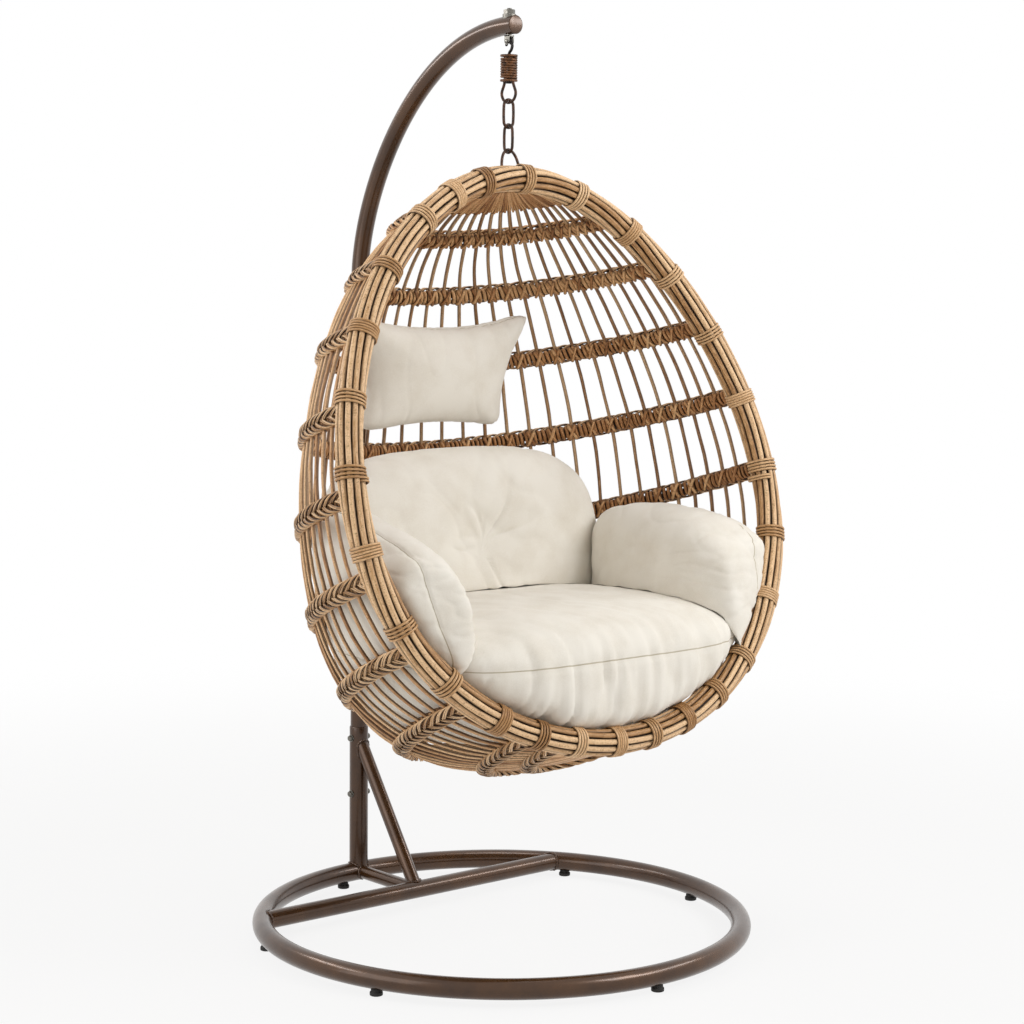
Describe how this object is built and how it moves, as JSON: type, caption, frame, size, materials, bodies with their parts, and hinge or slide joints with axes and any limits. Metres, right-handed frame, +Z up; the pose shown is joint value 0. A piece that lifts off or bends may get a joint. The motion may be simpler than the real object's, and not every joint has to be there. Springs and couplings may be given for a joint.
{
  "type": "hanging egg chair",
  "caption": "Cane egg basket with cushions that hangs by a swivel, a spring and a short chain from a curved arm on a ring base.",
  "frame": {"origin": "on the floor at the centre of the floor ring, straight under the swivel", "axes": "+Z up, the basket's opening faces -Y, the post stands at +Y, +X is the sitter's left"},
  "size_m": [1.1567, 1.054, 1.934],
  "materials": {
    "stand_steel": "satin",
    "foot_plastic": "matte",
    "dark_steel": "satin",
    "zinc_steel": "satin",
    "rust_steel": "matte",
    "cane": "satin",
    "dark_cane": "satin",
    "fabric": "matte"
  },
  "bodies": {
    "stand": {"base_ring": "stand_steel", "cross_bar": "stand_steel", "short_bar": "stand_steel", "lower_post": "stand_steel", "brace": "stand_steel", "curved_arm": "stand_steel", "arm_end_cap": "stand_steel", "foot_1": "foot_plastic", "foot_2": "foot_plastic", "foot_3": "foot_plastic", "foot_4": "foot_plastic", "foot_5": "foot_plastic", "foot_6": "foot_plastic", "post_bolt_upper": "dark_steel", "post_nut_upper": "dark_steel", "post_bolt_lower": "dark_steel", "post_nut_lower": "dark_steel", "saddle_washer": "zinc_steel"},
    "swivel": {"swivel_yoke": "zinc_steel", "swivel_nut": "zinc_steel", "yoke_pin": "zinc_steel"},
    "hook": {"spring_hook": "dark_steel", "upper_spring_plug": "rust_steel", "coil_spring": "rust_steel"},
    "draw": {"lower_spring_plug": "rust_steel", "plug_nut": "dark_steel", "draw_loop": "rust_steel"},
    "upper_link": {"upper_link": "rust_steel"},
    "lower_link": {"lower_link": "rust_steel"},
    "basket": {"bail": "rust_steel", "rim": "cane", "slat_frame": "dark_cane", "crown_panel": "dark_cane", "crown_band": "dark_cane", "band_1": "cane", "band_2": "cane", "band_3": "cane", "band_4": "cane", "band_5": "cane", "band_6": "cane", "band_7": "cane", "band_8": "cane", "band_9": "cane", "base_band": "dark_cane", "seat_cushion": "fabric", "back_cushion": "fabric", "right_arm_cushion": "fabric", "left_arm_cushion": "fabric", "head_pillow": "fabric"}
  },
  "joints": [
    {"name": "swivel_turn", "type": "hinge", "parent": "stand", "child": "swivel", "pos_m": [0, 0, 1.8672], "axis": [0, 0, 1], "range_deg": [-60, 60]},
    {"name": "hook_swing", "type": "hinge", "parent": "swivel", "child": "hook", "pos_m": [0, 0, 1.8672], "axis": [1, 0, 0], "range_deg": [-20, 5]},
    {"name": "spring_stretch", "type": "slide", "parent": "hook", "child": "draw", "axis": [0, 0, -1], "range_m": [-0.003, 0.012], "stiffness_N_per_m": 40000, "springref_m": -0.013, "deforming": ["coil_spring"]},
    {"name": "upper_link_swing", "type": "hinge", "parent": "draw", "child": "upper_link", "pos_m": [0, 0, 1.7432], "axis": [0, 1, 0], "range_deg": [-15, 15]},
    {"name": "lower_link_swing", "type": "hinge", "parent": "upper_link", "child": "lower_link", "pos_m": [0, 0, 1.6925], "axis": [1, 0, 0], "range_deg": [-10, 3]},
    {"name": "basket_swing", "type": "hinge", "parent": "lower_link", "child": "basket", "pos_m": [0, 0, 1.6418], "axis": [0, 1, 0], "range_deg": [-10, 10]}
  ]
}
